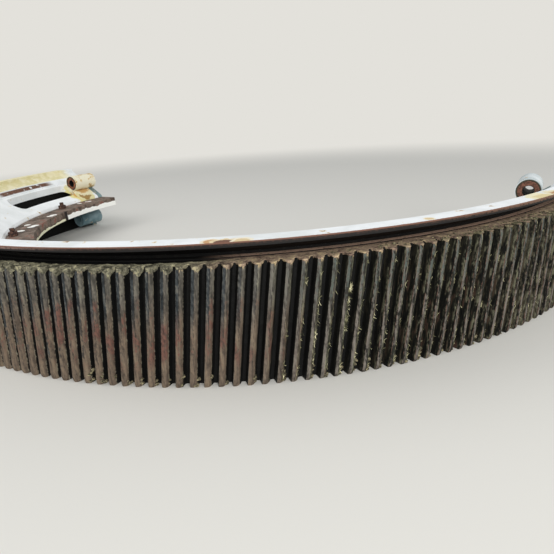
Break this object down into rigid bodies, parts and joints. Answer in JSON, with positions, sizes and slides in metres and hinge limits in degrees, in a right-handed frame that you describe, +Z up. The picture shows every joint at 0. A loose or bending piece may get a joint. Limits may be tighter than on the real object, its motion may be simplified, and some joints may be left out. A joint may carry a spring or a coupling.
{
  "type": "split girth gear half",
  "caption": "Half of a large split ring gear from a grinding mill: helical teeth outside, overhanging lip, sloping webs, drilled mounting ring and bolted joint bosses.",
  "frame": {"origin": "middle of the half ring's footprint on the ground; the gear's axis stands half a tip radius behind it, on the split face", "axes": "+Z up along the gear's axis, +X along the split face to the right end, +Y the way the split faces look, the middle of the half ring to -Y"},
  "size_m": [5.3246, 2.6624, 0.6568],
  "materials": {
    "toothed_rim": "worn teeth with rust, old grease and dust",
    "greasy_neck": "black dried grease",
    "painted_casting": "weathered white paint with rust stains",
    "shaded_casting": "dull grey green paint, dusty",
    "machined_ring": "machined face with brown rust and paint spots",
    "rusty_stud": "rusty"
  },
  "bodies": {
    "root": {"toothed_rim_1": "toothed_rim", "rim_neck_1": "greasy_neck", "rim_lip_1": "painted_casting", "upper_web_1": "painted_casting", "lower_web_1": "shaded_casting", "mounting_ring_1": "machined_ring", "toothed_rim_2": "toothed_rim", "rim_neck_2": "greasy_neck", "rim_lip_2": "painted_casting", "upper_web_2": "painted_casting", "lower_web_2": "shaded_casting", "mounting_ring_2": "machined_ring", "toothed_rim_3": "toothed_rim", "rim_neck_3": "greasy_neck", "rim_lip_3": "painted_casting", "upper_web_3": "painted_casting", "lower_web_3": "shaded_casting", "mounting_ring_3": "machined_ring", "toothed_rim_4": "toothed_rim", "rim_neck_4": "greasy_neck", "rim_lip_4": "painted_casting", "upper_web_4": "painted_casting", "lower_web_4": "shaded_casting", "mounting_ring_4": "machined_ring", "toothed_rim_5": "toothed_rim", "rim_neck_5": "greasy_neck", "rim_lip_5": "painted_casting", "upper_web_5": "painted_casting", "lower_web_5": "shaded_casting", "mounting_ring_5": "machined_ring", "cross_rib_1": "shaded_casting", "cross_rib_2": "shaded_casting", "cross_rib_3": "shaded_casting", "cross_rib_4": "shaded_casting", "joint_plate_left": "shaded_casting", "upper_joint_boss_left": "painted_casting", "lower_joint_boss_left": "shaded_casting", "joint_plate_right": "shaded_casting", "upper_joint_boss_right": "painted_casting", "lower_joint_boss_right": "shaded_casting", "ring_stud_1": "rusty_stud", "ring_stud_2": "rusty_stud", "ring_stud_3": "rusty_stud", "ring_stud_4": "rusty_stud"}
  },
  "joints": []
}
